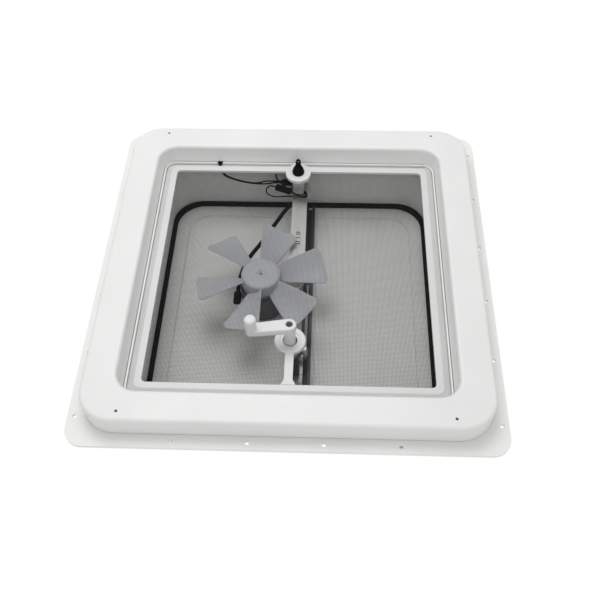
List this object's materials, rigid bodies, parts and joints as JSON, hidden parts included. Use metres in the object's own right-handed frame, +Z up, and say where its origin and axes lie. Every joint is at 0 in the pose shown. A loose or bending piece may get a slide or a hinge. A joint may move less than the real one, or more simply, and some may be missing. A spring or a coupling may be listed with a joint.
{
  "type": "roof vent",
  "caption": "Square powered roof vent seen from the room side: ceiling trim, insect screen, crank-opened hinged lid, small fan with motor on a strap, and a toggle switch.",
  "frame": {"origin": "centre of the square roof cut-out, on the underside of the roof flange, where it sits on the roof", "axes": "+Z up to the sky through the lid, -Z down into the room, +Y towards the lid hinge and the crank"},
  "size_m": [0.456, 0.456, 0.1321],
  "materials": {
    "white_shell": "smooth white moulded plastic, satin gloss",
    "white_trim": "smooth white moulded plastic, satin gloss",
    "screen_white": "white moulded plastic",
    "insect_mesh": "grey woven fibreglass insect mesh",
    "black_rubber": "soft black rubber",
    "black_pvc": "black PVC insulation",
    "galvanised": "zinc-plated steel, dull spangle",
    "dark_track": "dark zinc-plated steel track",
    "bracket_steel": "satin pre-plated steel strip",
    "bright_steel": "bright plated steel",
    "black_case": "black painted die casting",
    "acetal": "natural acetal, dull",
    "motor_grey": "dark grey plated motor can",
    "milky_plastic": "translucent milky polypropylene",
    "brass": "tinned brass"
  },
  "bodies": {
    "vent_base": {"roof_flange": "white_shell", "curb": "white_shell", "roof_collar": "white_shell", "hinge_posts": "white_shell", "strap_pad": "white_shell", "curb_gussets": "white_shell", "crank_support": "screen_white", "switch_plate": "screen_white", "hinge_pins": "bright_steel", "ceiling_trim": "white_trim", "screen_frame": "screen_white", "screen_mesh": "insect_mesh", "screen_retainer": "screen_white", "operator_case": "black_case", "operator_cover": "black_case", "operator_plate": "galvanised", "plate_rivets": "bright_steel", "shaft_bush": "brass", "fan_bracket": "bracket_steel", "bracket_screw": "bright_steel", "motor_screws": "bright_steel", "motor_can": "motor_grey", "motor_end_cap": "black_case", "motor_terminal": "black_pvc", "switch_body": "bracket_steel", "switch_nut": "bright_steel", "switch_terminals": "brass", "spade_connectors": "black_pvc", "ring_terminal": "bright_steel", "terminal_sleeve": "black_pvc", "feed_wire": "black_pvc", "earth_wire": "black_pvc", "wire_splices": "black_pvc", "motor_lead": "black_pvc", "motor_wire": "black_pvc"},
    "lid": {"lid": "white_shell", "lid_gasket": "black_rubber", "lid_track": "dark_track", "track_rivets": "dark_track"},
    "lift_arm": {"lift_arm": "galvanised", "arm_shaft": "bright_steel", "worm_wheel": "acetal", "roller_pin": "bright_steel"},
    "arm_rollers": {"arm_rollers": "acetal"},
    "crank": {"crank_shaft": "bright_steel", "crank_handle": "screen_white", "handle_screw": "black_case"},
    "fan": {"fan": "milky_plastic", "motor_armature": "bright_steel"},
    "switch_lever": {"switch_lever": "bright_steel", "switch_boot": "black_rubber"}
  },
  "joints": [
    {"name": "lid_hinge", "type": "hinge", "parent": "vent_base", "child": "lid", "pos_m": [0, 0.194, 0.0642], "axis": [-1, 0, 0], "range_deg": [0, 60]},
    {"name": "lift_arm_pivot", "type": "hinge", "parent": "vent_base", "child": "lift_arm", "pos_m": [0, 0.085, 0.042], "axis": [-1, 0, 0], "range_deg": [0, 120]},
    {"name": "roller_spin", "type": "hinge", "parent": "lift_arm", "child": "arm_rollers", "pos_m": [0.0155, -0.024, 0.0642], "axis": [1, 0, 0], "continuous": true},
    {"name": "crank_turn", "type": "hinge", "parent": "vent_base", "child": "crank", "pos_m": [0, 0.101, 0], "axis": [0, 0, 1], "range_deg": [0, 2340]},
    {"name": "fan_spin", "type": "hinge", "parent": "vent_base", "child": "fan", "pos_m": [-0.039, 0.001, 0.012], "axis": [0, 0, 1], "continuous": true},
    {"name": "switch_toggle", "type": "hinge", "parent": "vent_base", "child": "switch_lever", "pos_m": [0, -0.1535, -0.004], "axis": [1, 0, 0], "range_deg": [0, 24]}
  ],
  "couplings": [
    {"joint": "lift_arm_pivot", "follows": "lid_hinge", "ratio": 2},
    {"joint": "crank_turn", "follows": "lid_hinge", "ratio": 39}
  ]
}
